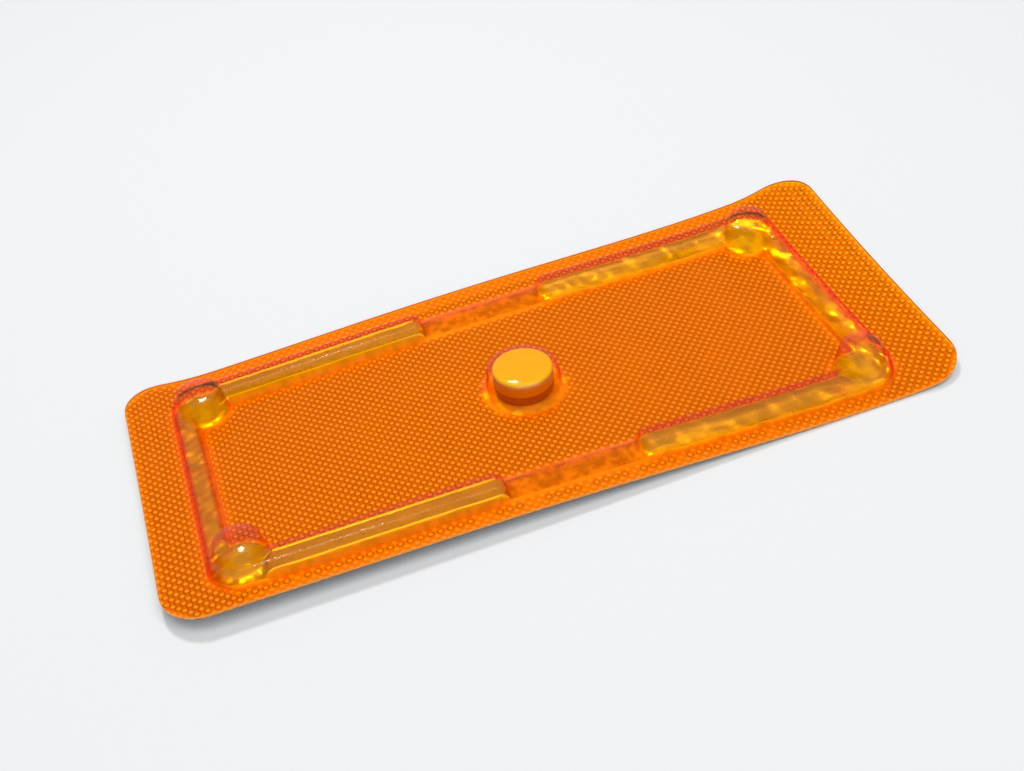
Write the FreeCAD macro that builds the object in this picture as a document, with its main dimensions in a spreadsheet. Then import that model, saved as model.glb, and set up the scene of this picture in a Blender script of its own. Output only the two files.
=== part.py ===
import FreeCAD, Part
import math
import os
import Sketcher
from FreeCAD import Placement, Rotation, Vector

os.makedirs("parts", exist_ok=True)
doc = FreeCAD.newDocument("BlisterPack")

# Driving dimensions in millimetres, and degrees for the two web angles. A rise is measured from the
# flange's upper face. Feet, widths and drafts of formed features are measured at the foil's underside.
size = {
    "cardLength": 100.0,
    "cardWidth": 44.8,
    "cardCorner": 5.3,
    "foilThick": 0.15,
    "filmThick": 0.25,
    "flangeLeft": 5.35,
    "flangeRight": 7.35,
    "flangeNear": 2.35,
    "flangeFar": 3.65,
    "ringCorner": 3.75,
    "longRibWidth": 4.55,
    "endRibWidth": 3.9,
    "ribRise": 2.05,
    "ribDraft": 0.9,
    "stepReach": 7.9,
    "stepRise": 0.35,
    "postInset": 4.4,
    "postRise": 4.1,
    "postFoot": 3.5,
    "postCap": 2.62,
    "rimRound": 0.3,
    "tabletRadius": 3.88,
    "tabletThick": 3.6,
    "tabletBevel": 0.35,
    "tabletGap": 0.08,
    "cavityDraft": 0.7,
    "footReach": 1.0,
    "footRise": 0.5,
    "webRise": 0.95,
    "webFoot": 0.8,
    "webCap": 0.45,
    "webFirst": 172.0,
    "webSecond": 240.0,
    "curlSkew": 0.2,
    "curlLengthRight": 9.0,
    "curlLengthLeft": 6.0,
    "curlRadiusRight": 16.5,
    "curlRadiusLeft": 55.0,
}
sheet = doc.addObject("Spreadsheet::Sheet", "Sizes")
for row, (alias, value) in enumerate(size.items(), start=1):
    sheet.set(f"A{row}", alias)
    sheet.set(f"B{row}", str(value))
    sheet.setAlias(f"B{row}", alias)
doc.recompute()

# Places, levels and radii that several features share, each worked out once from the cells.
ringCentreX = "((Sizes.flangeLeft - Sizes.flangeRight) / 2)"
ringCentreY = "((Sizes.flangeNear - Sizes.flangeFar) / 2)"
ringReachX = "((Sizes.cardLength - Sizes.flangeLeft - Sizes.flangeRight) / 2)"
ringReachY = "((Sizes.cardWidth - Sizes.flangeNear - Sizes.flangeFar) / 2)"
flangeTop = "(Sizes.foilThick + Sizes.filmThick)"
ribTop = f"({flangeTop} + Sizes.ribRise)"
stepTop = f"({flangeTop} + Sizes.stepRise)"
postTop = f"({flangeTop} + Sizes.postRise)"
cavityTop = "(Sizes.foilThick + Sizes.tabletThick + Sizes.tabletGap + Sizes.filmThick)"
cavityCap = "(Sizes.tabletRadius + Sizes.tabletGap + Sizes.filmThick)"
cavityBase = f"({cavityCap} + Sizes.cavityDraft)"


def bind(item, expressions):
    for path, expression in expressions.items():
        item.setExpression(path, expression)
    return item


def newSketch(body, name, role):
    plane = next(feature for feature in body.Origin.OriginFeatures if feature.Role == role)
    sketch = body.newObject("Sketcher::SketchObject", name)
    sketch.AttachmentSupport = [(plane, "")]
    sketch.MapMode = "FlatFace"
    return sketch


def worth(expression):
    return float(sheet.evalExpression(expression))


# Fixes one coordinate of a point of the sketch to an expression.
def pin(sketch, kind, item, point, expression):
    constraint = sketch.addConstraint(Sketcher.Constraint(kind, -1, 1, item, point, worth(expression)))
    sketch.setExpression(f"Constraints[{constraint}]", expression)


# A line between two points that the sketch already has, each an item and its point's number.
def joinPoints(sketch, first, last):
    line = sketch.addGeometry(Part.LineSegment(sketch.getPoint(*first), sketch.getPoint(*last)))
    sketch.addConstraint(Sketcher.Constraint("Coincident", line, 1, *first))
    sketch.addConstraint(Sketcher.Constraint("Coincident", line, 2, *last))


# A closed outline of straight lines, each corner a pair of expressions.
def polygon(sketch, corners):
    points = [Vector(worth(across), worth(up), 0) for across, up in corners]
    for here, after in zip(points, points[1:] + points[:1]):
        sketch.addGeometry(Part.LineSegment(here, after))
    for line, corner in enumerate(corners):
        sketch.addConstraint(Sketcher.Constraint("Coincident", (line - 1) % len(corners), 2, line, 1))
        for kind, place in zip(("DistanceX", "DistanceY"), corner):
            pin(sketch, kind, line, 1, place)


def rectangle(sketch, halfX, halfY):
    polygon(sketch, [
        (f"-({halfX})", f"-({halfY})"),
        (halfX, f"-({halfY})"),
        (halfX, halfY),
        (f"-({halfX})", halfY),
    ])


# Rounds the upright edges of a body's latest feature.
def roundCorners(body, name, feature, radius):
    doc.recompute()
    upright = []
    for number, edge in enumerate(feature.Shape.Edges, start=1):
        ends = [vertex.Z for vertex in edge.Vertexes]
        if max(ends) - min(ends) > size["filmThick"]:
            upright.append(f"Edge{number}")
    fillet = body.newObject("PartDesign::Fillet", name)
    fillet.Base = (feature, upright)
    body.Tip = fillet
    return bind(fillet, {"Radius": radius})


# Side view of one layer of the card: flat in the middle, with both ends curling up on large arcs.
# Each end has one centre for all layers, so that they lie face to face along the curls too.
def sideProfile(name, low, high):
    sketch = doc.addObject("Sketcher::SketchObject", name)
    sketch.Placement = Placement(Vector(0, 0, 0), Rotation(Vector(1, 0, 0), 90))
    reach = "(Sizes.cardLength / 2 + Sizes.curlSkew * Sizes.cardWidth / 2 + Sizes.filmThick)"
    downward = 1.5 * math.pi
    tips = []
    for height in (low, high):
        arcs = []
        for side, sign, joint, tip in (("Left", "-", 2, 1), ("Right", "", 1, 2)):
            start = f"{sign}(Sizes.cardLength / 2 - Sizes.curlLength{side})"
            centre = Vector(worth(start), size["curlRadius" + side], 0)
            radius = f"Sizes.curlRadius{side} - ({height})"
            sweep = math.asin((worth(reach) - abs(centre.x)) / worth(radius))
            first = downward - sweep if sign else downward
            circle = Part.Circle(centre, Vector(0, 0, 1), worth(radius))
            arc = sketch.addGeometry(Part.ArcOfCircle(circle, first, first + sweep))
            constraint = sketch.addConstraint(Sketcher.Constraint("Radius", arc, worth(radius)))
            sketch.setExpression(f"Constraints[{constraint}]", radius)
            pin(sketch, "DistanceX", arc, 3, start)
            pin(sketch, "DistanceY", arc, 3, f"Sizes.curlRadius{side}")
            pin(sketch, "DistanceX", arc, joint, start)
            pin(sketch, "DistanceX", arc, tip, sign + reach)
            arcs.append((arc, joint))
            tips.append((arc, tip))
        joinPoints(sketch, *arcs)
    joinPoints(sketch, tips[0], tips[2])
    joinPoints(sketch, tips[1], tips[3])
    return sketch



# A layer is its side view drawn across the card. The way across is askew, so that the far right and
# the near left corners lift more than the other two.
def curledLayer(name, low, high):
    layer = doc.addObject("Part::Extrusion", name)
    layer.Base = sideProfile(name + "Side", low, high)
    layer.DirMode = "Custom"
    layer.Dir = Vector(0, 1, 0)
    layer.Symmetric = True
    layer.Solid = True
    return bind(layer, {
        "Dir.x": "-Sizes.curlSkew",
        "LengthFwd": "Sizes.cardWidth * (1 + Sizes.curlSkew)",
    })


# One layer cut to the card's outline, with its rounded corners.
def cardLayer(name, low, high):
    block = doc.addObject("PartDesign::Body", name + "Block")
    sketch = newSketch(block, name + "Outline", "XY_Plane")
    rectangle(sketch, "Sizes.cardLength / 2", "Sizes.cardWidth / 2")
    pad = block.newObject("PartDesign::Pad", name + "Pad")
    pad.Profile = sketch
    bind(pad, {"Length": "Sizes.curlRadiusRight"})
    bind(block, {"Placement.Base.z": f"-{postTop}"})
    roundCorners(block, name + "Corners", pad, "Sizes.cardCorner")
    layer = doc.addObject("Part::Common", name)
    layer.Base = curledLayer(name + "Sheet", low, high)
    layer.Tool = block
    return layer


# A block round the ring's axis, with all four sides sloping in (-) or out (+) by the ribs' draft.
def slopingBlock(body, kind, name, halfX, halfY, top, slope):
    shift = f"{slope} Sizes.ribDraft * {top} / {ribTop}"
    block = body.newObject(f"PartDesign::{kind}Wedge", name)
    block.Placement.Rotation = Rotation(Vector(1, 0, 0), 90)
    return bind(block, {
        "Xmin": f"-({halfX})",
        "Xmax": halfX,
        "Zmin": f"-({halfY})",
        "Zmax": halfY,
        "X2min": f"-({halfX} {shift})",
        "X2max": f"{halfX} {shift}",
        "Z2min": f"-({halfY} {shift})",
        "Z2max": f"{halfY} {shift}",
        "Ymin": "0",
        "Ymax": top,
    })


# The rib ring: a frame round the card, with sloping walls. A recess across its middle leaves only a
# low step there in each long side. An inset of the film's thickness gives the hollow under it.
def ribRing(name, inset):
    body = doc.addObject("PartDesign::Body", name)
    top = f"({ribTop} - {inset})"
    low = f"({stepTop} - {inset})"
    outerX = f"{ringReachX} - {inset}"
    outerY = f"{ringReachY} - {inset}"
    frame = slopingBlock(body, "Additive", name + "Frame", outerX, outerY, top, "-")
    roundCorners(body, name + "Corners", frame, f"Sizes.ringCorner - {inset}")
    innerX = f"{ringReachX} - Sizes.endRibWidth + {inset}"
    innerY = f"{ringReachY} - Sizes.longRibWidth + {inset}"
    slopingBlock(body, "Subtractive", name + "Middle", innerX, innerY, top, "+")
    recess = newSketch(body, name + "Recess", "XZ_Plane")
    lowReach = f"(Sizes.stepReach + {inset} + Sizes.ribDraft * {low} / {ribTop})"
    highReach = f"(Sizes.stepReach + {inset} + Sizes.ribDraft)"
    polygon(recess, [
        (f"-{lowReach}", low),
        (lowReach, low),
        (highReach, ribTop),
        (f"-{highReach}", ribTop),
    ])
    step = body.newObject("PartDesign::Pocket", name + "Step")
    step.Profile = recess
    step.Type = "ThroughAll"
    step.Midplane = True
    body.Tip = step
    return bind(body, {"Placement.Base.x": ringCentreX, "Placement.Base.y": ringCentreY})


# A drawn cup: its wall's outline, from the foot to the rim of its flat top, turned about an upright
# axis. The place of that axis is measured from the ring's centre.
def cup(name, across, along, wall):
    body = doc.addObject("PartDesign::Body", name)
    sketch = newSketch(body, name + "Wall", "XZ_Plane")
    polygon(sketch, [("0", "0"), *wall, ("0", wall[-1][1])])
    turned = body.newObject("PartDesign::Revolution", name + "Turned")
    turned.Profile = sketch
    turned.ReferenceAxis = (sketch, ["V_Axis"])
    turned.Angle = 360
    body.Tip = turned
    return bind(body, {
        "Placement.Base.x": f"{ringCentreX} + {across}",
        "Placement.Base.y": f"{ringCentreY} + {along}",
    })


def posts(tag, inset):
    wall = [
        (f"Sizes.postFoot - {inset}", "0"),
        (f"Sizes.postCap - {inset}", f"{postTop} - Sizes.rimRound - {inset}"),
        (f"Sizes.postCap - Sizes.rimRound - {inset}", f"{postTop} - {inset}"),
    ]
    parts = []
    for side, near in (("Far", ""), ("Near", "-")):
        for end, left in (("Right", ""), ("Left", "-")):
            across = f"{left}({ringReachX} - Sizes.postInset)"
            along = f"{near}({ringReachY} - Sizes.postInset)"
            parts.append(cup(f"{tag}Post{side}{end}", across, along, wall))
    return parts


# The tablet's cup has a flared foot, and four small webs stand round it.
def cavity(tag, inset):
    wall = [
        (f"{cavityBase} + Sizes.footReach - {inset}", "0"),
        (f"{cavityBase} - {inset}", f"{flangeTop} + Sizes.footRise - {inset}"),
        (f"{cavityCap} - {inset}", f"{cavityTop} - Sizes.rimRound - {inset}"),
        (f"{cavityCap} - Sizes.rimRound - {inset}", f"{cavityTop} - {inset}"),
    ]
    web = [
        (f"Sizes.webFoot - {inset}", "0"),
        (f"Sizes.webCap - {inset}", f"{flangeTop} + Sizes.webRise - {inset}"),
    ]
    parts = [cup(f"{tag}Cavity", "0", "0", wall)]
    for angle in ("Sizes.webFirst", "Sizes.webSecond"):
        for sign in ("", "-"):
            across = f"{sign}{cavityBase} * cos({angle} * 1 deg)"
            along = f"{sign}{cavityBase} * sin({angle} * 1 deg)"
            parts.append(cup(f"{tag}Web", across, along, web))
    return parts


def fuse(name, parts):
    whole = doc.addObject("Part::MultiFuse", name)
    whole.Shapes = parts
    return whole


# The film: one drawn sheet, hollow under every raised feature and cut off flush with the foil's face.
# The feet of the features end inside a deep layer, and the cut takes all of it that is below the film.
def blisterFilm():
    outside = [cardLayer("FilmLayer", f"-{postTop} / 2", flangeTop), ribRing("Ring", "0")]
    outside += posts("Outer", "0") + cavity("Outer", "0")
    inside = [curledLayer("BelowFilm", f"-{postTop}", "Sizes.foilThick"), ribRing("Hollow", "Sizes.filmThick")]
    inside += posts("Inner", "Sizes.filmThick") + cavity("Inner", "Sizes.filmThick")
    film = doc.addObject("Part::Cut", "Film")
    film.Base = fuse("DrawnShape", outside)
    film.Tool = fuse("DrawnHollow", inside)
    film.Label = "blister_film"
    return film


def liddingFoil():
    foil = cardLayer("Foil", "0", "Sizes.foilThick")
    foil.Label = "lidding_foil"
    return foil


# The tablet lies on the foil: a flat-faced disc with bevelled edges.
def tablet():
    flat = "Sizes.tabletRadius - Sizes.tabletBevel"
    edge = [
        (flat, "0"),
        ("Sizes.tabletRadius", "Sizes.tabletBevel"),
        ("Sizes.tabletRadius", "Sizes.tabletThick - Sizes.tabletBevel"),
        (flat, "Sizes.tabletThick"),
    ]
    body = cup("Tablet", "0", "0", edge)
    body.Label = "tablet"
    return bind(body, {"Placement.Base.z": "Sizes.foilThick"})


pieces = [liddingFoil(), tablet(), blisterFilm()]
doc.recompute()
for item in doc.Objects:
    if "Invalid" in item.State or "Error" in item.State:
        raise RuntimeError(f"{item.Name} failed: {item.State}")
for piece in pieces:
    shape = piece.Shape
    if shape.isNull() or not shape.isValid() or len(shape.Solids) != 1:
        volumes = [round(solid.Volume, 4) for solid in shape.Solids]
        raise RuntimeError(f"{piece.Label} is not one valid solid: {volumes}")
for piece in pieces:
    piece.Shape.exportStep(f"parts/{piece.Label}.step")
    print(piece.Label, round(piece.Shape.Volume, 2), piece.Shape.BoundBox)
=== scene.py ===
import math
import bpy
import numpy as np
from mathutils import Matrix, Vector, geometry


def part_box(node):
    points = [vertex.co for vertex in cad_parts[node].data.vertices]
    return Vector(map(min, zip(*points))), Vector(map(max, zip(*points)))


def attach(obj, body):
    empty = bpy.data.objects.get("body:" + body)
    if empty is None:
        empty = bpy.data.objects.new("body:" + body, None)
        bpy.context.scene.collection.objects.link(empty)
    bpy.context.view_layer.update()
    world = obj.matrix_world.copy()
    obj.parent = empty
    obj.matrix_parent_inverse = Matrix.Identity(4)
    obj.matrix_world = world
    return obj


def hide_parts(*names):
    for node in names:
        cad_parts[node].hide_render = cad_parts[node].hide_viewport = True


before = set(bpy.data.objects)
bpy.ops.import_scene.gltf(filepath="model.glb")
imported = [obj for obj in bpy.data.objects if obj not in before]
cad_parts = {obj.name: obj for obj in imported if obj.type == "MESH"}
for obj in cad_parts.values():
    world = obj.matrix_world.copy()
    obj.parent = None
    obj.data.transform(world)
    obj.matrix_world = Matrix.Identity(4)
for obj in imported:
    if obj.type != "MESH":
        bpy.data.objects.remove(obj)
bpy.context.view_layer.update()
mm = 0.001

# The card and how it lies, in mm. Its long axis is x, with a low wave, a twist and ends that curl up.
card = dict(corner=5.3, foil=0.15, film=0.25, ringX=-1.0, ringY=-0.65, lengthUnit=50, widthUnit=25,
            wave=(-1.841, 1.0193, 2.1536), twist=1.6587, across=0.7711, tilt=(-0.5577, 0.0227),
            rightFrom=39.4995, rightCurl=0.0102, rightSkew=0.7393,
            leftFrom=37.9, leftCurl=0.003, leftSkew=2.7425)
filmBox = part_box("blister_film")
card["halfX"] = filmBox[1].x / mm
card["halfY"] = filmBox[1].y / mm


def smoothMin(a, b, soft):
    return np.minimum(a, b) - np.maximum(soft - np.abs(a - b), 0) ** 2 / (4 * soft)


def smoothMax(a, b, soft):
    return -smoothMin(-a, -b, soft)


def easeIn(value, low, high):
    t = np.clip((value - low) / (high - low), 0, 1)
    return t * t * (3 - 2 * t)


def wall(depth, reach, rise, soft):
    # rises from 0 at the foot line to its full height within the reach, with both edges rounded
    return smoothMax(smoothMin(depth * rise / reach, rise, soft), 0, soft)


def lie(x, y):
    u, v = x / card["lengthUnit"], y / card["widthUnit"]
    second, third, fourth = card["wave"]
    z = second * u ** 2 + third * u ** 3 + fourth * u ** 4 + card["twist"] * u * v + card["across"] * v ** 2
    z = z + card["rightCurl"] * np.maximum(x - card["rightFrom"], 0) ** 2 * (1 + card["rightSkew"] * v)
    z = z + card["leftCurl"] * np.maximum(-x - card["leftFrom"], 0) ** 2 * (1 + card["leftSkew"] * v)
    return z + card["tilt"][0] * u + card["tilt"][1] * v


def boxDistance(x, y, halfX, halfY, radius):
    # signed distance to a rounded rectangle about the origin, negative inside
    qx = np.abs(x) - halfX + radius
    qy = np.abs(y) - halfY + radius
    return np.hypot(np.maximum(qx, 0), np.maximum(qy, 0)) + np.minimum(np.maximum(qx, qy), 0) - radius


gridX, gridY = np.meshgrid(np.linspace(-card["halfX"], card["halfX"], 801),
                           np.linspace(-card["halfY"], card["halfY"], 361))
onCard = boxDistance(gridX, gridY, card["halfX"], card["halfY"], card["corner"]) <= 0
lieLow = float(lie(gridX, gridY)[onCard].min())
print("card", round(card["halfX"] * 2, 2), "x", round(card["halfY"] * 2, 2), "mm, lowest at", round(lieLow, 4))


def base(x, y):
    return lie(x, y) - lieLow


# The drawn forms of the film, in mm above the flange
ring = dict(outX=43.53, outY=19.26, inX=39.93, inY=14.98, outRound=4.27, inRound=0.5, rise=2.05, reach=0.75,
            stepReach=8.0, stepRise=0.4, stepSlope=2.14, endRound=1.7, soft=0.5, wallThick=0.1, endThick=0.22,
            endFrom=40.5, endTo=43, topThick=0.16, stepThick=0.24)
post = dict(x=39.25, y=15.0, foot=3.45, reach=0.83, rise=4.1, dome=0.42, cap=2.62, soft=0.42,
            wallThick=0.09, topThick=0.14, blend=0.3)
bubble = dict(foot=4.97, reach=0.5, rise=3.84, dome=0.5, cap=4.3, capPower=6, soft=0.9, wallThick=0.17, topThick=0.16,
              flareFoot=5.95, flareMost=1.3, flareRise=0.5, blend=0.25,
              webAngles=(172, 352, 240, 60), webAt=5.0, webFoot=0.95, webReach=0.7, webRise=0.95,
              webSoft=0.3, webBlend=0.12)


def ringDepths(x, y):
    outer = -boxDistance(x, y, ring["outX"], ring["outY"], ring["outRound"])
    inner = boxDistance(x, y, ring["inX"], ring["inY"], ring["inRound"])
    return outer, inner


def roundCorner(a, b, radius):
    near = (a < radius) & (b < radius)
    return np.where(near, radius - np.hypot(radius - a, radius - b), np.minimum(a, b))


def filmForm(x, y, inside):
    # inside=0 gives the outer face, inside=1 the inner one, whose heights are above the foil
    x, y = x - card["ringX"], y - card["ringY"]
    lift = card["film"] * inside
    outer, inner = ringDepths(x, y)
    thicker = (ring["endThick"] - ring["wallThick"]) * easeIn(np.abs(x), ring["endFrom"], ring["endTo"])
    depth = np.minimum(outer, inner) - (ring["wallThick"] + thicker) * inside
    end = np.abs(x) - ring["stepReach"] - ring["wallThick"] * inside
    rise = ring["rise"] + lift - ring["topThick"] * inside
    form = wall(roundCorner(depth, end, ring["endRound"]), ring["reach"], rise, ring["soft"])
    step = ring["stepRise"] + lift - ring["stepThick"] * inside
    crown = 1 - (1 - np.clip(depth / ring["stepSlope"], 0, 1)) ** 2
    form = np.maximum(form, step * crown)
    away = np.hypot(np.abs(x) - post["x"], np.abs(y) - post["y"])
    cap = post["rise"] - post["dome"] * (away / post["cap"]) ** 2 + lift - post["topThick"] * inside
    slope = (post["foot"] - post["wallThick"] * inside - away) * post["rise"] / post["reach"]
    form = smoothMax(form, smoothMin(slope, cap, post["soft"]), post["blend"])
    away = np.hypot(x, y)
    dome = bubble["dome"] * (away / bubble["cap"]) ** bubble["capPower"]
    cap = bubble["rise"] - dome + lift - bubble["topThick"] * inside
    slope = (bubble["foot"] - bubble["wallThick"] * inside - away) * bubble["rise"] / bubble["reach"]
    flare = np.clip(bubble["flareFoot"] - away, 0, bubble["flareMost"]) ** 2 * bubble["flareRise"]
    form = smoothMax(form, np.maximum(smoothMin(slope, cap, bubble["soft"]), flare), bubble["blend"])
    for angle in bubble["webAngles"]:
        turn = math.radians(angle)
        away = np.hypot(x - bubble["webAt"] * math.cos(turn), y - bubble["webAt"] * math.sin(turn))
        web = wall(bubble["webFoot"] - away, bubble["webReach"], bubble["webRise"], bubble["webSoft"])
        form = smoothMax(form, web, bubble["webBlend"])
    return np.maximum(form, 0)


class Plan:
    # a flat pattern of points and lines, which the faces of a sheet follow
    def __init__(self):
        self.points, self.edges = [], []

    def line(self, x, y, keep=None, closed=False):
        good = np.ones(len(x), bool) if keep is None else keep(x, y)
        index = np.cumsum(good) - 1 + len(self.points)
        self.points.extend(zip(x[good], y[good]))
        pairs = list(zip(range(len(x) - 1), range(1, len(x)))) + ([(len(x) - 1, 0)] if closed else [])
        self.edges.extend((int(index[a]), int(index[b])) for a, b in pairs if good[a] and good[b])

    def dots(self, x, y, keep=None):
        x, y = np.ravel(x), np.ravel(y)
        good = np.ones(len(x), bool) if keep is None else keep(x, y)
        self.points.extend(zip(x[good], y[good]))

    def circle(self, x, y, radius, count):
        turn = np.linspace(0, 2 * math.pi, count, endpoint=False)
        self.line(x + radius * np.cos(turn), y + radius * np.sin(turn), closed=True)

    def roundedBox(self, x, y, halfX, halfY, radius, step, keep=None):
        sx = np.linspace(-halfX + radius, halfX - radius, max(2, round(2 * (halfX - radius) / step)))
        sy = np.linspace(-halfY + radius, halfY - radius, max(2, round(2 * (halfY - radius) / step)))
        turn = np.linspace(0, math.pi / 2, max(3, round(radius * 5) + 2))[1:-1]
        cos, sin = radius * np.cos(turn), radius * np.sin(turn)
        ex, ey = halfX - radius, halfY - radius
        px = np.concatenate([sx, ex + sin, sy * 0 + halfX, ex + cos, -sx, -ex - sin, sy * 0 - halfX, -ex - cos])
        py = np.concatenate([sx * 0 - halfY, -ey - cos, sy, ey + sin, sx * 0 + halfY, ey + cos, -sy, -ey - sin])
        self.line(x + px, y + py, keep, True)

    def triangles(self):
        found = geometry.delaunay_2d_cdt([Vector(p) for p in self.points], self.edges, [], 0, 0.004)
        flat = np.array([tuple(v) for v in found[0]])
        return flat, [tuple(f) for f in found[2]]


def closedSheet(name, flat, faces, top, bottom):
    # a sheet between two height fields over one pattern, closed round its outline
    def area(f):
        return sum(flat[f[i - 1]][0] * flat[f[i]][1] - flat[f[i]][0] * flat[f[i - 1]][1] for i in range(len(f)))

    count = len(flat)
    points = np.vstack([np.column_stack([flat, top]), np.column_stack([flat, bottom])]) * mm
    faces = [f if area(f) > 0 else f[::-1] for f in faces]
    used = {(f[i - 1], f[i]) for f in faces for i in range(len(f))}
    rim = [(a, b) for a, b in used if (b, a) not in used]
    under = [tuple(count + i for i in f[::-1]) for f in faces]
    sides = [(b, a, count + a, count + b) for a, b in sorted(rim)]
    mesh = bpy.data.meshes.new(name)
    mesh.from_pydata([tuple(p) for p in points], [], faces + under + sides)
    mesh.validate()
    mesh.shade_smooth()
    mesh.set_sharp_from_angle(angle=math.radians(50))
    piece = bpy.data.objects.new(name, mesh)
    bpy.context.collection.objects.link(piece)
    return piece, len(faces)


def outOfPosts(margin):
    def keep(x, y):
        away = np.hypot(np.abs(x - card["ringX"]) - post["x"], np.abs(y - card["ringY"]) - post["y"])
        return away > post["foot"] + margin
    return keep


# Where the film's pattern has its points: offsets from the rib's foot lines, and circles as radius and count
filmNet = dict(edge=0.5, edgeStep=1.2, ringStep=0.8, grid=1.4, bendCount=9,
               rows=(-0.3, -0.14, 0, 0.1, 0.2, 0.32, 0.44, 0.54, 0.63, 0.72, 0.82, 0.95, 1.15),
               posts=((3.9, 64), (3.65, 72), (3.5, 84), (3.42, 84), (3.3, 84), (3.18, 84), (3.05, 80), (2.92, 80),
                      (2.82, 80), (2.74, 80), (2.68, 80), (2.62, 80), (2.56, 80), (2.48, 72), (2.36, 64), (2.1, 48),
                      (1.6, 32), (1.0, 18)),
               bubble=((6.4, 80), (5.95, 96), (5.6, 96), (5.3, 96), (5.1, 96), (4.97, 96), (4.85, 96), (4.7, 96),
                       (4.55, 96), (4.42, 96), (4.34, 96), (4.27, 96), (4.21, 96), (4.15, 96), (4.05, 96), (3.9, 80),
                       (3.6, 64), (3.0, 48), (2.2, 32), (1.2, 18)),
               webs=((1.1, 24), (0.95, 24), (0.75, 20), (0.55, 18), (0.35, 14), (0.2, 8)))


def filmPlan():
    plan = Plan()
    ox, oy = card["ringX"], card["ringY"]
    clear = outOfPosts(0.05)
    edge, step = filmNet["edge"], filmNet["edgeStep"]
    plan.roundedBox(0, 0, card["halfX"], card["halfY"], card["corner"], step)
    plan.roundedBox(0, 0, card["halfX"] - edge, card["halfY"] - edge, card["corner"] - edge, step)
    step = filmNet["ringStep"]
    for d in filmNet["rows"]:
        plan.roundedBox(ox, oy, ring["outX"] - d, ring["outY"] - d, ring["outRound"] - d, step, clear)
        plan.roundedBox(ox, oy, ring["inX"] + d, ring["inY"] + d, ring["inRound"] + d, step, clear)
    middle, bend = (ring["inY"] + ring["outY"]) / 2, ring["endRound"]
    for sx in (-1, 1):
        for sy in (-1, 1):
            for d in filmNet["rows"]:
                turn = np.linspace(0, math.pi / 2, filmNet["bendCount"])
                cos, sin = (bend - d) * np.cos(turn), (bend - d) * np.sin(turn)
                along = ring["stepReach"] + bend
                px = np.concatenate([along - sin, [ring["stepReach"] + d], along - cos])
                py = np.concatenate([ring["inY"] + bend - cos, [middle], ring["outY"] - bend + sin])
                plan.line(ox + sx * px, oy + sy * py)
            cx, cy = ox + sx * post["x"], oy + sy * post["y"]
            for r, count in filmNet["posts"]:
                plan.circle(cx, cy, r, count)
            plan.dots([cx, cx + 0.3, cx - 0.3], [cy, cy + 0.4, cy - 0.4])
    for r, count in filmNet["bubble"]:
        plan.circle(ox, oy, r, count)
    for angle in bubble["webAngles"]:
        turn = math.radians(angle)
        cx, cy = ox + bubble["webAt"] * math.cos(turn), oy + bubble["webAt"] * math.sin(turn)
        for r, count in filmNet["webs"]:
            around = np.linspace(0, 2 * math.pi, count, endpoint=False)
            plan.dots(cx + r * np.cos(around), cy + r * np.sin(around), lambda x, y: np.hypot(x - ox, y - oy) > 4.6)
    gx, gy = np.meshgrid(np.arange(-49, 49.1, filmNet["grid"]), np.arange(-21.7, 21.8, filmNet["grid"]))

    def plain(x, y):
        # away from the drawn forms and the outline, or in the middle of the rib's top
        outer, inner = ringDepths(x - ox, y - oy)
        offRib = (outer < -0.5) | (inner < -0.5) | (np.minimum(outer, inner) > 1.2)
        offEdge = boxDistance(x, y, card["halfX"], card["halfY"], card["corner"]) < -0.9
        return offRib & (np.hypot(x - ox, y - oy) > 6.9) & outOfPosts(0.6)(x, y) & offEdge

    plan.dots(gx, gy, plain)
    return plan


class Signal:
    # a socket that takes part in sums written as Python
    def __init__(self, shade, socket):
        self.shade, self.socket = shade, socket

    def sum(self, operation, *values):
        node = self.shade.add("ShaderNodeMath", dict(operation=operation), dict(enumerate(values)))
        return Signal(self.shade, node.outputs[0])

    def __add__(self, other): return self.sum("ADD", self, other)
    def __radd__(self, other): return self.sum("ADD", other, self)
    def __sub__(self, other): return self.sum("SUBTRACT", self, other)
    def __rsub__(self, other): return self.sum("SUBTRACT", other, self)
    def __mul__(self, other): return self.sum("MULTIPLY", self, other)
    def __pow__(self, other): return self.sum("POWER", self, other)
    def cosine(self): return self.sum("COSINE", self)
    def size(self): return self.sum("ABSOLUTE", self)

    def ease(self, low, high):
        node = self.shade.add("ShaderNodeMapRange", dict(interpolation_type="SMOOTHSTEP"),
                              {"Value": self, "From Min": low, "From Max": high})
        return Signal(self.shade, node.outputs[0])


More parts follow.
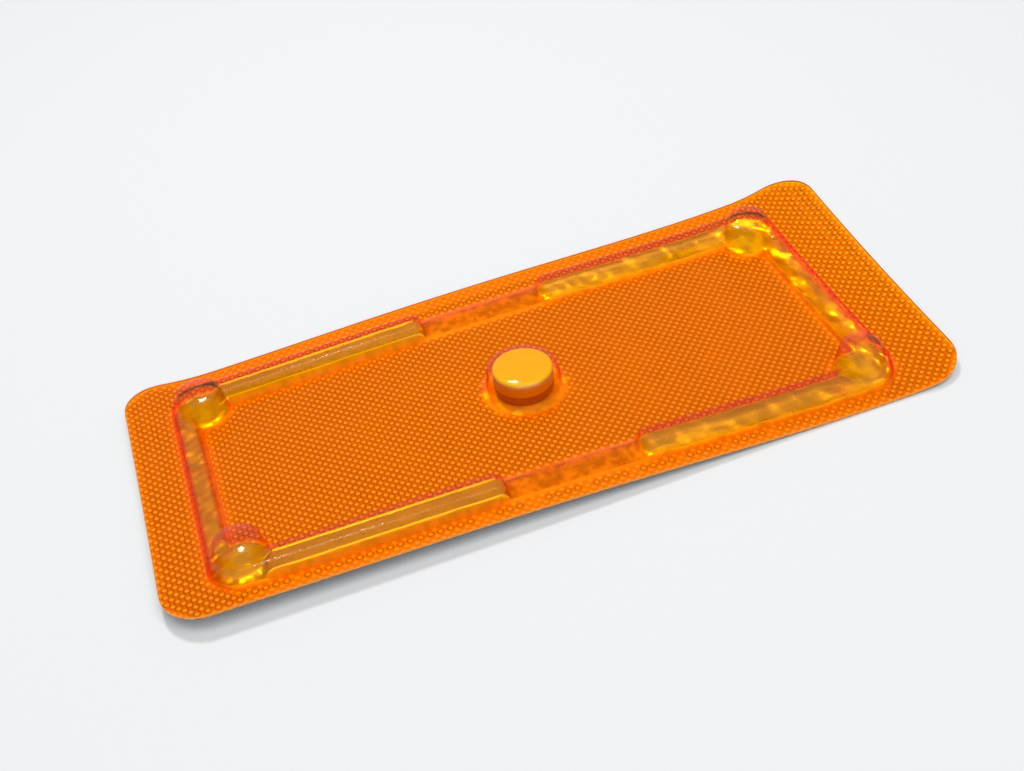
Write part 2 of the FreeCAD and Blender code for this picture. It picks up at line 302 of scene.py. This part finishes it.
class Shade:
    def __init__(self, name):
        self.material = bpy.data.materials.new(name)
        self.material.use_nodes = True
        self.tree = self.material.node_tree
        self.tree.nodes.clear()
        self.end = self.tree.nodes.new("ShaderNodeOutputMaterial")
        place = self.add("ShaderNodeTexCoord")
        self.place = self.add("ShaderNodeVectorMath", dict(operation="SCALE"),
                              {0: Signal(self, place.outputs["Object"]), "Scale": 1 / mm}).outputs[0]

    def add(self, kind, settings=None, values=None):
        node = self.tree.nodes.new(kind)
        for key, value in (settings or {}).items():
            setattr(node, key, value)
        for key, value in (values or {}).items():
            socket = node.inputs[key]
            if isinstance(value, Signal):
                value = value.socket
            if isinstance(value, bpy.types.NodeSocket):
                self.tree.links.new(value, socket)
            else:
                socket.default_value = value
        return node

    def axes(self):
        parts = self.add("ShaderNodeSeparateXYZ", None, {0: self.place})
        return [Signal(self, parts.outputs[i]) for i in range(3)]

    def stretched(self, scale):
        return self.add("ShaderNodeVectorMath", dict(operation="MULTIPLY"), {0: self.place, 1: scale}).outputs[0]

    def noise(self, size, detail=2.0, rough=0.5, place=None):
        node = self.add("ShaderNodeTexNoise", dict(noise_dimensions="3D"),
                        {"Vector": place or self.place, "Scale": 1 / size, "Detail": detail, "Roughness": rough})
        return Signal(self, node.outputs["Fac"])

    def blend(self, factor, first, second):
        node = self.add("ShaderNodeMix", dict(data_type="RGBA"), {0: factor, 6: first, 7: second})
        return node.outputs[2]

    def bump(self, height, depth, normal=None):
        values = {"Height": height, "Distance": depth * mm, "Strength": 1.0}
        if normal:
            values["Normal"] = normal
        return self.add("ShaderNodeBump", None, values).outputs[0]

    def finish(self, surface, volume=None):
        self.tree.links.new(surface, self.end.inputs["Surface"])
        if volume:
            self.tree.links.new(volume, self.end.inputs["Volume"])
        return self.material


filmLook = dict(tint=(0.998, 0.922, 0.0, 1), density=20000.0, gloss=0.08, headOn=0.004, drawn=0.012, grazing=5.5,
                behind=0.6, ripple=0.01, edge=(0.95, 0.33, 0.02, 1), edgeDark=(0.85, 0.24, 0.01, 1))


def filmMaterial():
    shade = Shade("orangeFilm")
    ripple = shade.noise(2.6, 1.0) + shade.noise(0.9, 1.0) * 0.25
    normal = shade.bump(ripple, filmLook["ripple"])
    facing = shade.add("ShaderNodeLayerWeight", None, {"Blend": 0.5, "Normal": normal}).outputs["Facing"]
    back = Signal(shade, shade.add("ShaderNodeNewGeometry").outputs["Backfacing"])
    drawn = Signal(shade, shade.add("ShaderNodeAttribute", dict(attribute_name="drawn")).outputs["Fac"])
    # the knurl takes the shine off the sealed part, so the drawn forms shine more
    headOn = drawn.ease(0.3, 1.2) * filmLook["drawn"] + filmLook["headOn"]
    mirror = (Signal(shade, facing) ** filmLook["grazing"] + headOn) * (1 - back * filmLook["behind"])
    clear = shade.add("ShaderNodeBsdfTransparent", None, {"Color": (1, 1, 1, 1)})
    gloss = shade.add("ShaderNodeBsdfGlossy", None, {
        "Color": (1, 1, 1, 1), "Roughness": filmLook["gloss"], "Normal": normal})
    both = shade.add("ShaderNodeMixShader", None, {0: mirror, 1: clear.outputs[0], 2: gloss.outputs[0]})
    tint = shade.add("ShaderNodeVolumeAbsorption", None, {"Color": filmLook["tint"], "Density": filmLook["density"]})
    return shade.finish(both.outputs[0], tint.outputs[0])


def edgeMaterial():
    # the cut edge of the film, as a shell in the film's own colour
    shade = Shade("filmEdge")
    colour = shade.blend(shade.noise(0.8, 2.0), filmLook["edge"], filmLook["edgeDark"])
    shell = shade.add("ShaderNodeBsdfPrincipled", None, {"Base Color": colour, "Roughness": 0.35})
    return shade.finish(shell.outputs[0])


def buildFilm():
    flat, faces = filmPlan().triangles()
    x, y = flat[:, 0], flat[:, 1]
    ground = base(x, y)
    top = ground + card["foil"] + card["film"] + filmForm(x, y, 0)
    bottom = ground + card["foil"] + filmForm(x, y, 1)
    bottom = np.minimum(bottom, top - 0.05)
    piece, count = closedSheet("film", flat, faces, top, bottom)
    drawn = piece.data.attributes.new("drawn", "FLOAT", "POINT")
    drawn.data.foreach_set("value", np.tile(filmForm(x, y, 0), 2).astype(np.float32))
    piece.data.materials.append(filmMaterial())
    piece.data.materials.append(edgeMaterial())
    slots = np.zeros(len(piece.data.polygons), np.int32)
    slots[2 * count:] = 1
    piece.data.polygons.foreach_set("material_index", slots)
    print("film", len(flat), "points a side,", count, "faces a side, top at", round(float(top.max()), 3), "mm")
    return piece


film = buildFilm()

# The foil: flat where it is sealed, loose and wrinkled in the hollows of the film, and tented under the left ribs
foilForm = dict(pitch=0.84, clearance=0.04, pull=0.09, sunk=0.08, clearOfBubble=6.5,
                tent=1.1, beadWide=0.09, beadHigh=0.09, beadNear=-1.56, beadFar=1.57)


def wrinkles(x, y, size, turn, spread, seed):
    chance = np.random.RandomState(seed)
    total, weight = 0, 0
    for i in range(6):
        angle = math.radians(turn + chance.uniform(-spread, spread))
        length = size * chance.uniform(0.6, 1.7)
        wave = np.sin(2 * math.pi * (x * math.cos(angle) + y * math.sin(angle)) / length + chance.uniform(0, 6.28)
                      + 1.2 * np.sin((x * 0.7 - y * 0.9) / size + chance.uniform(0, 6.28)))
        total = total + (1 - 2 * np.abs(wave)) * length
        weight += length
    return total / weight


def foilRise(x, y):
    rx, ry = x - card["ringX"], y - card["ringY"]
    room = filmForm(x, y, 1) - foilForm["clearance"]
    diagonal = wrinkles(x, y, 6.0, 35, 25, 4)
    fine = wrinkles(x, y, 2.6, -20, 50, 9)
    left = easeIn(-rx, 7.6, 8.4) * easeIn(-rx, 37.6, 36.4) * (np.abs(ry) > 14)
    right = easeIn(rx, 7.6, 8.4) * (np.abs(ry) > 14)
    farEnd = easeIn(rx, 38.5, 39.5)
    nearEnd = easeIn(-rx, 38.0, 39.0)
    cups = easeIn(post["foot"] - np.hypot(np.abs(rx) - post["x"], np.abs(ry) - post["y"]), 0, 1)
    middle = (ring["inY"] + ring["outY"]) / 2
    across = np.abs(ry) - middle
    front = across * np.sign(ry)  # grows away from the near edge, in both channels
    level = 0.17 + 0.09 * diagonal + 0.04 * fine
    level = level + right * (0.3 + 0.3 * easeIn(front, -1.7, 0.7) + 0.1 * diagonal + 0.03 * fine)
    level = level + farEnd * (0.3 + 0.2 * diagonal + 0.05 * fine)
    level = level + nearEnd * (0.15 + 0.05 * diagonal + 0.04 * fine)
    bead = np.exp(-((across - foilForm["beadNear"]) / foilForm["beadWide"]) ** 2) * (ry < 0)
    bead = bead + np.exp(-((np.abs(across) - foilForm["beadFar"]) / foilForm["beadWide"]) ** 2) * (ry > 0)
    flat = foilForm["tent"] + 0.04 * diagonal + foilForm["beadHigh"] * bead
    level = level * (1 - left) + flat * left
    level = level * (1 - cups) + (0.4 + 0.04 * fine) * cups
    level = np.where(np.hypot(rx, ry) < foilForm["clearOfBubble"], 0.0, level)
    return np.maximum(smoothMin(room, level, 0.06), 0)


def looseDepth(x, y):
    # how far inside the unsealed part a point lies
    rx, ry = x - card["ringX"], y - card["ringY"]
    outer, inner = ringDepths(rx, ry)
    depth = np.minimum(outer, inner)
    depth = np.maximum(depth, post["foot"] - np.hypot(np.abs(rx) - post["x"], np.abs(ry) - post["y"]))
    return np.maximum(depth, bubble["flareFoot"] - 0.5 - np.hypot(rx, ry))


# Where the foil's pattern has its points: the rib's rows, circles as radius and count, and grids
foilNet = dict(edgeStep=1.2, ringStep=0.6, rows=(-0.15, 0, 0.2, 0.35, 0.46, 0.56, 0.66, 0.8),
               posts=((3.6, 60), (3.45, 60), (3.3, 56), (3.1, 52)),
               bubble=((5.6, 60), (5.45, 60), (5.3, 48), (4.0, 30), (2.0, 14)),
               looseGrid=0.34, jitter=0.06, sealedGrid=2.0)


def foilPlan():
    plan = Plan()
    ox, oy = card["ringX"], card["ringY"]
    clear = outOfPosts(0.02)
    plan.roundedBox(0, 0, card["halfX"], card["halfY"], card["corner"], foilNet["edgeStep"])
    step = foilNet["ringStep"]
    for d in foilNet["rows"]:
        plan.roundedBox(ox, oy, ring["outX"] - d, ring["outY"] - d, ring["outRound"] - d, step, clear)
        plan.roundedBox(ox, oy, ring["inX"] + d, ring["inY"] + d, ring["inRound"] + d, step, clear)
    for sx in (-1, 1):
        for sy in (-1, 1):
            for r, count in foilNet["posts"]:
                plan.circle(ox + sx * post["x"], oy + sy * post["y"], r, count)
    for r, count in foilNet["bubble"]:
        plan.circle(ox, oy, r, count)
    step, jitter = foilNet["looseGrid"], foilNet["jitter"]
    gx, gy = np.meshgrid(np.arange(-46, 46, step), np.arange(-21, 21, step))
    chance = np.random.RandomState(3)
    gx = gx + chance.uniform(-jitter, jitter, gx.shape)
    gy = gy + chance.uniform(-jitter, jitter, gy.shape)
    apart = foilForm["clearOfBubble"]
    plan.dots(gx, gy, lambda x, y: (looseDepth(x, y) > 0.85) & (np.hypot(x - ox, y - oy) > apart))
    step = foilNet["sealedGrid"]
    gx, gy = np.meshgrid(np.arange(-48, 48.1, step), np.arange(-20.6, 20.7, step))
    plan.dots(gx, gy, lambda x, y: looseDepth(x, y) < -0.6)
    return plan


# Some of these are painted light: the knurl's dots and gaps carry a painted highlight and painted shade, the loose
# foil's dark folds, spans and channel sides are painted shade, its creases a painted highlight and the patches under
# the webs painted light.
foilLook = dict(dot=(0.88, 0.68, 0.38, 1), shadedGap=(0.71, 0.35, 0.10, 1), cloud=(0.92, 0.55, 0.22, 1),
                loose=(0.84, 0.54, 0.28, 1), looseDark=(0.56, 0.34, 0.15, 1), shadedSpan=(0.47, 0.25, 0.10, 1),
                rear=(0.38, 0.20, 0.06, 1), litCrease=(1.0, 0.90, 0.70, 1), close=(0.74, 0.40, 0.16, 1),
                closeDark=(0.44, 0.21, 0.08, 1), cavity=(0.98, 0.62, 0.28, 1), web=(1.0, 0.85, 0.55, 1),
                onWall=(0.90, 0.52, 0.22, 1), edge=(0.30, 0.09, 0.02, 1), back=(0.80, 0.80, 0.81, 1),
                backDark=(0.72, 0.72, 0.74, 1))


def lattice(shade):
    # 1 on the middle of each pressed dot, -1 between four of them
    x, y, z = shade.axes()
    turn = 2 * math.pi / (foilForm["pitch"] * math.sqrt(2))
    return ((x + y) * turn).cosine() * 0.5 + ((x - y) * turn).cosine() * 0.5


def sealedMaterial():
    shade = Shade("sealedFoil")
    dots = lattice(shade)
    cloud = shade.noise(9.0, 2.0)
    # the pressed dots are painted lighter and the gaps between them darker, a painted highlight and painted shade of
    # the knurl
    colour = shade.blend(dots.ease(-0.1, 0.7), foilLook["shadedGap"], foilLook["dot"])
    colour = shade.blend(cloud.ease(0.35, 0.8) * 0.2, colour, foilLook["cloud"])
    shell = shade.add("ShaderNodeBsdfPrincipled", None, {
        "Base Color": colour, "Metallic": 0.15, "Roughness": 0.5, "Normal": shade.bump(shade.noise(0.25), 0.005)})
    return shade.finish(shell.outputs[0])


def looseMaterial():
    shade = Shade("looseFoil")
    x, y, z = shade.axes()
    crinkle = shade.noise(1.6, 2.0, 0.5)
    normal = shade.bump(crinkle, 0.02)
    side = (x - card["ringX"]).size()
    across = ((y - card["ringY"]).size() - (ring["inY"] + ring["outY"]) / 2).size()
    # the tented foil on the left: a span in painted shade between two creases with a painted highlight
    tented = (card["ringX"] - x).ease(8.2, 8.8) * (card["ringX"] - x).ease(37.4, 36.6) * across.ease(2.2, 2.0)
    litCrease = tented * across.ease(1.36, 1.46) * across.ease(1.68, 1.58)
    shadedSpan = tented * across.ease(1.5, 1.4)
    # where the foil lies close to the film: round the bubble, and under the low steps
    near = (x * x + y * y).ease(60, 50)
    close = 1 - (1 - near) * (1 - side.ease(8.9, 8.3) * across.ease(3, 2.5))
    # painted shade and sheen of folds that run along the sides, and across the ends
    lengthwise = shade.noise(1.3, 2.0, 0.5, shade.stretched((0.22, 1.0, 1.0)))
    crosswise = shade.noise(1.3, 2.0, 0.5, shade.stretched((0.8, 0.45, 1.0)))
    foldShade = (lengthwise + (crosswise - lengthwise) * side.ease(37.0, 38.5)).ease(0.38, 0.62)
    colour = shade.blend(foldShade, foilLook["loose"], foilLook["looseDark"])
    # the left end is darkened with the spans' painted shade
    colour = shade.blend((0 - x).ease(36.0, 39.0) * 0.6, colour, foilLook["shadedSpan"])
    # the side of each right channel that turns away from the light
    behind = (y - card["ringY"] - 18.5).size().ease(0.5, 0.15) + (y - card["ringY"] + 15.7).size().ease(1.3, 0.2)
    behind = behind * (x - card["ringX"]).ease(8.5, 9.5) * side.ease(37.5, 35.5)
    colour = shade.blend(behind * 0.75, colour, foilLook["rear"])
    colour = shade.blend(shadedSpan * 0.85, colour, foilLook["shadedSpan"])
    colour = shade.blend(litCrease, colour, foilLook["litCrease"])
    streak = shade.noise(1.3, 3.0, 0.6).ease(0.35, 0.65)
    colour = shade.blend(close, colour, shade.blend(streak, foilLook["close"], foilLook["closeDark"]))
    colour = shade.blend(near * (1 - streak * 0.3), colour, foilLook["cavity"])
    # a painted patch of light on the foil under each web of the bubble
    for angle in bubble["webAngles"]:
        turn = math.radians(angle)
        dx = x - (card["ringX"] + bubble["webAt"] * math.cos(turn))
        dy = y - (card["ringY"] + bubble["webAt"] * math.sin(turn))
        colour = shade.blend((dx * dx + dy * dy).ease(0.8, 0.1), colour, foilLook["web"])
    shell = shade.add("ShaderNodeBsdfPrincipled", None, {
        "Base Color": colour, "Metallic": 0.7 - litCrease * 0.65 - close * 0.45,
        "Roughness": 0.22 + crinkle * 0.12 + litCrease * 0.3 + close * 0.2, "Normal": normal})
    return shade.finish(shell.outputs[0])


def wallMaterial(name, colour):
    # the foil pressed up the foot of the film's walls, and its cut edge
    shade = Shade(name)
    cloud = shade.noise(1.2, 2.0)
    darker = tuple(c * 0.8 for c in colour[:3]) + (1,)
    mixed = shade.blend(cloud.ease(0.35, 0.7), colour, darker)
    shell = shade.add("ShaderNodeBsdfPrincipled", None, {
        "Base Color": mixed, "Metallic": 0.2, "Roughness": 0.45 + cloud * 0.1})
    return shade.finish(shell.outputs[0])


def backMaterial():
    shade = Shade("foilBack")
    dots = lattice(shade)
    grain = shade.noise(0.3, 3.0)
    normal = shade.bump(dots.ease(-0.3, 0.9), -0.05)
    normal = shade.bump(grain, 0.01, normal=normal)
    colour = shade.blend(shade.noise(12.0, 2.0).ease(0.35, 0.7) * 0.5, foilLook["back"], foilLook["backDark"])
    shell = shade.add("ShaderNodeBsdfPrincipled", None, {
        "Base Color": colour, "Metallic": 1.0, "Roughness": 0.3 + grain * 0.15, "Normal": normal})
    return shade.finish(shell.outputs[0])


# The knurl: a square lattice of small pressed bumps, turned 45 degrees, set on the sealed part of the sheet
knurl = {"Pitch": foilForm["pitch"], "Side": 104.0, "Base": 0.46, "Top": 0.2, "Height": 0.04, "Edge": 0.51}


def knurlTree(material):
    tree = bpy.data.node_groups.new("knurlOnFoil", "GeometryNodeTree")
    tree.interface.new_socket("Geometry", in_out="INPUT", socket_type="NodeSocketGeometry")
    for name in knurl:
        tree.interface.new_socket(name, in_out="INPUT", socket_type="NodeSocketFloat")
    tree.interface.new_socket("Geometry", in_out="OUTPUT", socket_type="NodeSocketGeometry")
    start = tree.nodes.new("NodeGroupInput")
    end = tree.nodes.new("NodeGroupOutput")

    def add(kind, settings=None, values=None):
        node = tree.nodes.new(kind)
        for key, value in (settings or {}).items():
            setattr(node, key, value)
        for key, value in (values or {}).items():
            if isinstance(value, bpy.types.NodeSocket):
                tree.links.new(value, node.inputs[key])
            else:
                node.inputs[key].default_value = value
        return node

    def sized(name):
        return add("ShaderNodeMath", dict(operation="MULTIPLY"), {0: start.outputs[name], 1: mm}).outputs[0]

    side, pitch = sized("Side"), sized("Pitch")
    count = add("ShaderNodeMath", dict(operation="DIVIDE"), {0: side, 1: pitch}).outputs[0]
    count = add("FunctionNodeFloatToInt", dict(rounding_mode="ROUND"), {0: count}).outputs[0]
    reach = add("ShaderNodeMath", dict(operation="MULTIPLY"), {0: count, 1: pitch}).outputs[0]
    more = add("FunctionNodeIntegerMath", dict(operation="ADD"), {0: count, 1: 1}).outputs[0]
    net = add("GeometryNodeMeshGrid", None, {
        "Size X": reach, "Size Y": reach, "Vertices X": more, "Vertices Y": more}).outputs[0]
    net = add("GeometryNodeTransform", None, {
        "Geometry": net, "Rotation": (0, 0, math.pi / 4), "Translation": (0, 0, 0.02)}).outputs[0]
    net = add("GeometryNodeMeshToPoints", None, {"Mesh": net}).outputs[0]
    mask = add("GeometryNodeInputNamedAttribute", dict(data_type="FLOAT"), {"Name": "sealed"}).outputs[0]
    hit = add("GeometryNodeRaycast", dict(data_type="FLOAT"), {
        "Target Geometry": start.outputs["Geometry"], "Attribute": mask,
        "Ray Direction": (0, 0, -1), "Ray Length": 0.05})
    out = add("ShaderNodeMath", dict(operation="LESS_THAN"), {
        0: hit.outputs["Attribute"], 1: start.outputs["Edge"]}).outputs[0]
    miss = add("FunctionNodeBooleanMath", dict(operation="NOT"), {0: hit.outputs["Is Hit"]}).outputs[0]
    drop = add("FunctionNodeBooleanMath", dict(operation="OR"), {0: out, 1: miss}).outputs[0]
    kept = add("GeometryNodeDeleteGeometry", dict(domain="POINT"), {"Geometry": net, "Selection": drop}).outputs[0]
    turn = add("FunctionNodeAlignRotationToVector", dict(axis="Z"), {"Vector": hit.outputs["Hit Normal"]}).outputs[0]
    kept = add("GeometryNodeStoreNamedAttribute", dict(data_type="QUATERNION", domain="POINT"),
               {"Geometry": kept, "Name": "lean", "Value": turn}).outputs[0]
    kept = add("GeometryNodeSetPosition", None, {"Geometry": kept, "Position": hit.outputs["Hit Position"]}).outputs[0]
    bump = add("GeometryNodeMeshCone", dict(fill_type="NGON"), {
        "Vertices": 8, "Side Segments": 1, "Radius Top": sized("Top"), "Radius Bottom": sized("Base"),
        "Depth": sized("Height")}).outputs[0]
    bump = add("GeometryNodeSetShadeSmooth", None, {"Geometry": bump}).outputs[0]
    lean = add("GeometryNodeInputNamedAttribute", dict(data_type="QUATERNION"), {"Name": "lean"}).outputs[0]
    bumps = add("GeometryNodeInstanceOnPoints", None, {"Points": kept, "Instance": bump, "Rotation": lean}).outputs[0]
    bumps = add("GeometryNodeRealizeInstances", None, {"Geometry": bumps}).outputs[0]
    bumps = add("GeometryNodeSetMaterial", None, {"Geometry": bumps, "Material": material}).outputs[0]
    both = add("GeometryNodeJoinGeometry")
    tree.links.new(bumps, both.inputs[0])
    tree.links.new(start.outputs["Geometry"], both.inputs[0])
    tree.links.new(both.outputs[0], end.inputs[0])
    return tree


def buildFoil():
    flat, faces = foilPlan().triangles()
    x, y = flat[:, 0], flat[:, 1]
    ground, rise, depth = base(x, y), foilRise(x, y), looseDepth(x, y)
    top = ground + card["foil"] + rise - foilForm["sunk"] * (1 - easeIn(depth, 0, 0.3))
    bottom = ground + rise + foilForm["pull"] * easeIn(depth, 0, 0.4)
    piece, count = closedSheet("foil", flat, faces, top, bottom)
    mesh = piece.data
    sealedTop = sealedMaterial()
    for material in (sealedTop, looseMaterial(), backMaterial(), wallMaterial("foilOnWall", foilLook["onWall"]),
                     wallMaterial("foilEdge", foilLook["edge"])):
        mesh.materials.append(material)
    slots = np.full(len(mesh.polygons), 2, np.int32)
    middles = np.array([sum((flat[i] for i in f), np.zeros(2)) / len(f) for f in faces])
    deep = looseDepth(middles[:, 0], middles[:, 1])
    slots[:count] = np.where(deep > 0.46, 1, np.where(deep > 0, 3, 0))
    slots[2 * count:] = 4
    mesh.polygons.foreach_set("material_index", slots)
    # how far a point of the upper face lies inside the sealed part, and -9 on the lower face, which gets no bumps
    fit = np.minimum(-depth, -boxDistance(x, y, card["halfX"], card["halfY"], card["corner"]) + 0.04)
    sealed = mesh.attributes.new("sealed", "FLOAT", "POINT")
    sealed.data.foreach_set("value", np.concatenate([fit, fit * 0 - 9]).astype(np.float32))
    modifier = piece.modifiers.new("knurl", "NODES")
    modifier.node_group = knurlTree(sealedTop)
    for item in modifier.node_group.interface.items_tree:
        if item.in_out == "INPUT" and item.name in knurl:
            modifier[item.identifier] = knurl[item.name]
    graph = bpy.context.evaluated_depsgraph_get()
    whole = bpy.data.meshes.new_from_object(piece.evaluated_get(graph), depsgraph=graph)
    piece.modifiers.clear()
    piece.data = whole
    print("foil", len(whole.vertices), "points,", len(whole.polygons), "faces,", len(whole.materials), "materials")
    return piece


foil = buildFoil()

# The tablet, lying on the foil inside the middle bubble
# side and under are painted shade and a painted shadow on the tablet's lower part
pill = dict(radius=3.88, thick=3.6, topRound=0.42, underRound=0.5, underRise=1.3, turns=72, dish=0.05, lift=0.03,
            face=(0.83, 0.71, 0.56, 1), speck=(0.78, 0.58, 0.42, 1), side=(0.76, 0.37, 0.20, 1),
            under=(0.42, 0.10, 0.03, 1))


def pillMaterial():
    shade = Shade("coatedTablet")
    speck = shade.noise(0.35, 3.0, 0.6)
    colour = shade.blend(speck.ease(0.35, 0.75) * 0.35, pill["face"], pill["speck"])
    x, y, z = shade.axes()
    seat = float(base(card["ringX"], card["ringY"])) + card["foil"]
    # painted shade on the tablet's side, below the rounded rim
    colour = shade.blend((z - seat).ease(3.45, 3.0), colour, pill["side"])
    # painted shadow on the lower part of the tablet, under its edge
    colour = shade.blend((z - seat).ease(1.75, 1.45), colour, pill["under"])
    shell = shade.add("ShaderNodeBsdfPrincipled", None, {
        "Base Color": colour, "Roughness": 0.45, "Coat Weight": 0.15, "Normal": shade.bump(speck, 0.02)})
    return shade.finish(shell.outputs[0])


def buildPill():
    r, h, a = pill["radius"], pill["thick"], pill["topRound"]
    rings = [(k * (r - pill["underRound"]), 0.0) for k in (0.25, 0.6, 0.9)]
    for t in np.linspace(0, math.pi / 2, 9):
        rings.append((r - pill["underRound"] * (1 - math.sin(t)), pill["underRise"] * (1 - math.cos(t))))
    rings += [(r, z) for z in np.linspace(pill["underRise"] + 0.3, h - a - 0.2, 4)]
    for t in np.linspace(0, math.pi / 2, 9):
        rings.append((r - a * (1 - math.cos(t)), h - a * (1 - math.sin(t))))
    rings += [(k * (r - a), h - pill["dish"] * (1 - k * k)) for k in (0.97, 0.9, 0.75, 0.5, 0.25)]
    turn = np.linspace(0, 2 * math.pi, pill["turns"], endpoint=False)
    cx, cy = card["ringX"], card["ringY"]
    step = 0.5
    slopeX = float(base(cx + step, cy) - base(cx - step, cy)) / (2 * step)
    slopeY = float(base(cx, cy + step) - base(cx, cy - step)) / (2 * step)
    points = [(wide * math.cos(t), wide * math.sin(t), z) for wide, z in rings for t in turn]
    points += [(0, 0, rings[0][1]), (0, 0, h - pill["dish"])]
    seat = float(base(cx, cy)) + card["foil"] + pill["lift"]
    points = [((x + cx) * mm, (y + cy) * mm, (z + seat + slopeX * x + slopeY * y) * mm) for x, y, z in points]
    n, faces = len(turn), []
    for i in range(len(rings) - 1):
        for j in range(n):
            k = (j + 1) % n
            faces.append((i * n + j, i * n + k, (i + 1) * n + k, (i + 1) * n + j))
    last = (len(rings) - 1) * n
    for j in range(n):
        k = (j + 1) % n
        faces += [(len(points) - 2, k, j), (last + j, last + k, len(points) - 1)]
    mesh = bpy.data.meshes.new("tabletPiece")
    mesh.from_pydata(points, [], faces)
    mesh.shade_smooth()
    mesh.materials.append(pillMaterial())
    piece = bpy.data.objects.new("tabletPiece", mesh)
    bpy.context.collection.objects.link(piece)
    print("tablet", len(faces), "faces, seated at", round(seat, 3), "mm")
    return piece


tablet = buildPill()

for piece, node, finish in ((film, "blister_film", "film"), (foil, "lidding_foil", "foil"),
                            (tablet, "tablet", "tablet")):
    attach(piece, "root")
    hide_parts(node)

# Floor, light and camera: angles in degrees, the lamps' sizes and places in m, the camera's lengths in px and mm
studio = dict(floor=(0.70, 0.71, 0.72, 1), floorPale=(0.76, 0.78, 0.80, 1), floorHalf=1.5, fadeFrom=220.0, fadeTo=650.0,
              keyPower=1.0, keySize=0.06, keyAway=0.5, keyHigh=65.0, keyLeft=19.0,
              topPower=5.1, topSize=0.7, topPlace=(0.05, -0.3, 0.75), world=0.3, backdrop=(0.86, 0.87, 0.88, 1))
view = dict(focal=1277.456, high=40.0038, turn=-14.6769, roll=-7.8272, shiftX=18.0614, shiftY=4.484, away=163.349,
            sensor=36, width=1024)


def cameraAxes():
    high, turn, roll = (math.radians(view[k]) for k in ("high", "turn", "roll"))
    back = Vector((math.sin(turn) * math.cos(high), -math.cos(turn) * math.cos(high), math.sin(high)))
    side = Vector((math.cos(turn), math.sin(turn), 0))
    up = back.cross(side)
    return back, math.cos(roll) * side + math.sin(roll) * up, -math.sin(roll) * side + math.cos(roll) * up


def buildCamera():
    back, side, up = cameraAxes()
    place = back * view["away"] - (side * view["shiftX"] + up * view["shiftY"]) * view["away"] / view["focal"]
    place.z += card["foil"] + card["film"] - lieLow
    lens = bpy.data.cameras.new("camera")
    lens.sensor_width = view["sensor"]
    lens.lens = view["focal"] * view["sensor"] / view["width"]
    lens.clip_start = 0.005
    camera = bpy.data.objects.new("camera", lens)
    camera.matrix_world = Matrix.Translation(place * mm) @ Matrix((side, up, back)).transposed().to_4x4()
    bpy.context.collection.objects.link(camera)
    bpy.context.scene.camera = camera


def buildLight(name, power, size, place):
    lamp = bpy.data.lights.new(name, "AREA")
    lamp.shape, lamp.size, lamp.energy = "SQUARE", size, power
    light = bpy.data.objects.new(name, lamp)
    light.location = place
    light.rotation_euler = (-place).to_track_quat("-Z", "Y").to_euler()
    bpy.context.collection.objects.link(light)


def buildFloor():
    # pale paper, which turns into the plain backdrop with distance
    half = studio["floorHalf"]
    mesh = bpy.data.meshes.new("floor")
    mesh.from_pydata([(-half, -half, 0), (half, -half, 0), (half, half, 0), (-half, half, 0)], [], [(0, 1, 2, 3)])
    floor = bpy.data.objects.new("floor", mesh)
    bpy.context.collection.objects.link(floor)
    shade = Shade("palePaper")
    colour = shade.blend(shade.noise(1.5, 3.0) * 0.2, studio["floor"], studio["floorPale"])
    paper = shade.add("ShaderNodeBsdfPrincipled", None, {"Base Color": colour, "Roughness": 0.85})
    x, y, z = shade.axes()
    far = (x * x + y * y).ease(studio["fadeFrom"] ** 2, studio["fadeTo"] ** 2)
    glow = shade.add("ShaderNodeEmission", None, {"Color": studio["backdrop"], "Strength": 1.0})
    both = shade.add("ShaderNodeMixShader", None, {0: far, 1: paper.outputs[0], 2: glow.outputs[0]})
    mesh.materials.append(shade.finish(both.outputs[0]))


def buildWorld():
    # a soft white sky that lights the pack, seen as the plain backdrop by the camera and in the film's shine
    world = bpy.data.worlds.new("studio")
    world.use_nodes = True
    bpy.context.scene.world = world
    tree = world.node_tree
    sky = tree.nodes["Background"]
    sky.inputs["Color"].default_value = (1, 1, 1, 1)
    sky.inputs["Strength"].default_value = studio["world"]
    plain = tree.nodes.new("ShaderNodeBackground")
    plain.inputs["Color"].default_value = studio["backdrop"]
    rays = tree.nodes.new("ShaderNodeLightPath")
    either = tree.nodes.new("ShaderNodeMixShader")
    seen = rays.outputs["Is Camera Ray"]
    for kind in ("Is Glossy Ray", "Is Transmission Ray"):
        most = tree.nodes.new("ShaderNodeMath")
        most.operation = "MAXIMUM"
        tree.links.new(seen, most.inputs[0])
        tree.links.new(rays.outputs[kind], most.inputs[1])
        seen = most.outputs[0]
    tree.links.new(seen, either.inputs[0])
    tree.links.new(sky.outputs[0], either.inputs[1])
    tree.links.new(plain.outputs[0], either.inputs[2])
    tree.links.new(either.outputs[0], tree.nodes["World Output"].inputs["Surface"])


buildFloor()
buildWorld()
buildCamera()
back, side, up = cameraAxes()
behind = -Vector((back.x, back.y, 0)).normalized()
left = -Vector((side.x, side.y, 0)).normalized()
high, around = math.radians(studio["keyHigh"]), math.radians(studio["keyLeft"])
toKey = (behind * math.cos(around) + left * math.sin(around)) * math.cos(high) + Vector((0, 0, math.sin(high)))
buildLight("keyLight", studio["keyPower"], studio["keySize"], toKey * studio["keyAway"])
buildLight("topLight", studio["topPower"], studio["topSize"], Vector(studio["topPlace"]))
bpy.context.scene.view_settings.view_transform = "Standard"
print("floor, light and camera ready")
